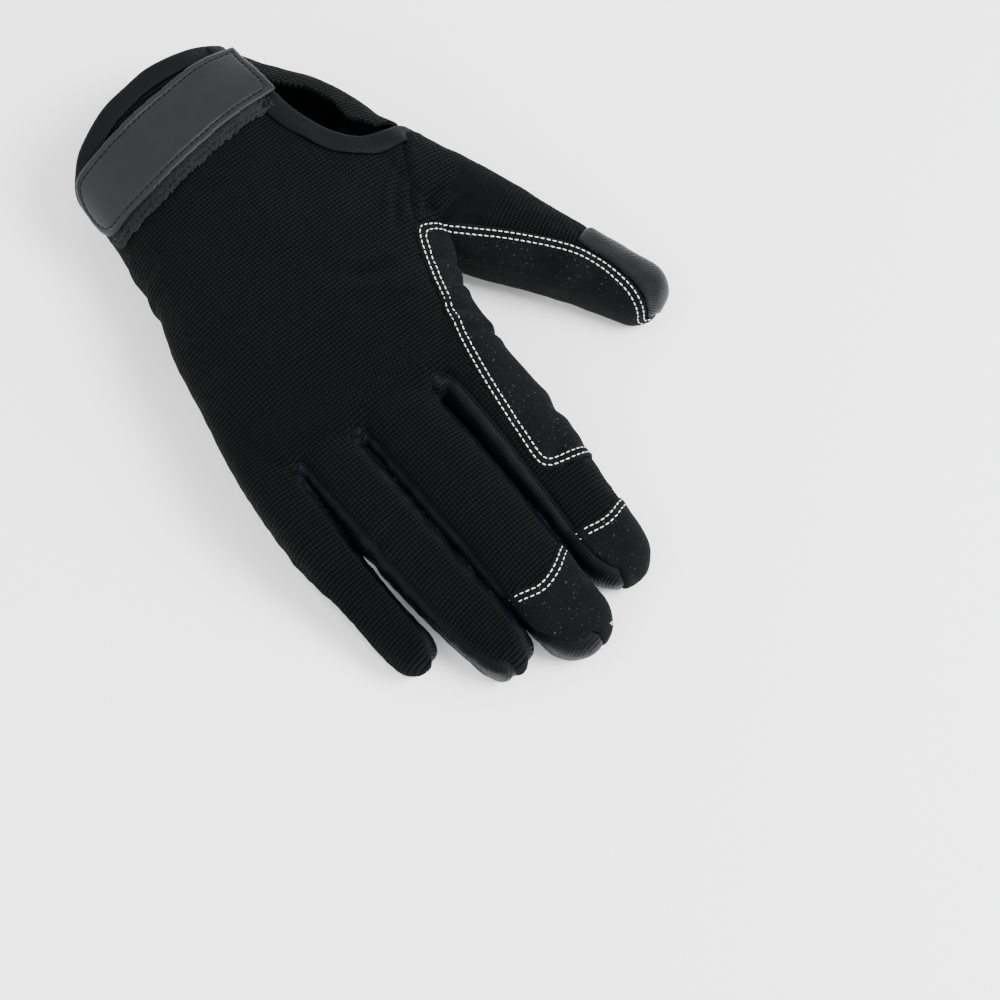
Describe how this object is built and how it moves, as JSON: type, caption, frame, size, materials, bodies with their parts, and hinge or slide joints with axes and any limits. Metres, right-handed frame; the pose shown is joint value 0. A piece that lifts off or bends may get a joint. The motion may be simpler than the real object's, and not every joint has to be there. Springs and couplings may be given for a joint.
{
  "type": "work glove",
  "caption": "Right-hand work glove filled to the shape of a hand, with sewn back, palm, side strips, pads, taped edges and a wrist strap.",
  "frame": {"origin": "middle of the footprint, at the floor", "axes": "+Y along the fingers, thumb towards -X, +Z out of the back of the hand"},
  "size_m": [0.1664, 0.2548, 0.0486],
  "materials": {
    "knit": "ribbed knit",
    "satin_knit": "satin knit",
    "black_suede": "suede",
    "grey_suede": "suede",
    "coated_twill": "coated twill",
    "tape": "ribbed tape",
    "strap": "smooth matt",
    "loop_tape": "woolly loops"
  },
  "bodies": {
    "root": {"back_panel": "knit", "thumb_back": "knit", "wrist_tab": "knit", "palm_panel": "grey_suede", "thumb_window": "grey_suede", "fourchette_index_middle": "satin_knit", "fourchette_middle_ring": "satin_knit", "fourchette_ring_little": "satin_knit", "web_panel": "black_suede", "thenar_strip": "black_suede", "index_cap": "black_suede", "middle_cap": "black_suede", "heel_pad": "black_suede", "knuckle_pad": "black_suede", "thumb_tip_patch": "coated_twill", "cuff_binding": "tape", "palm_binding": "tape", "notch_binding": "tape", "strap": "strap", "loop_patch": "loop_tape"}
  },
  "joints": []
}
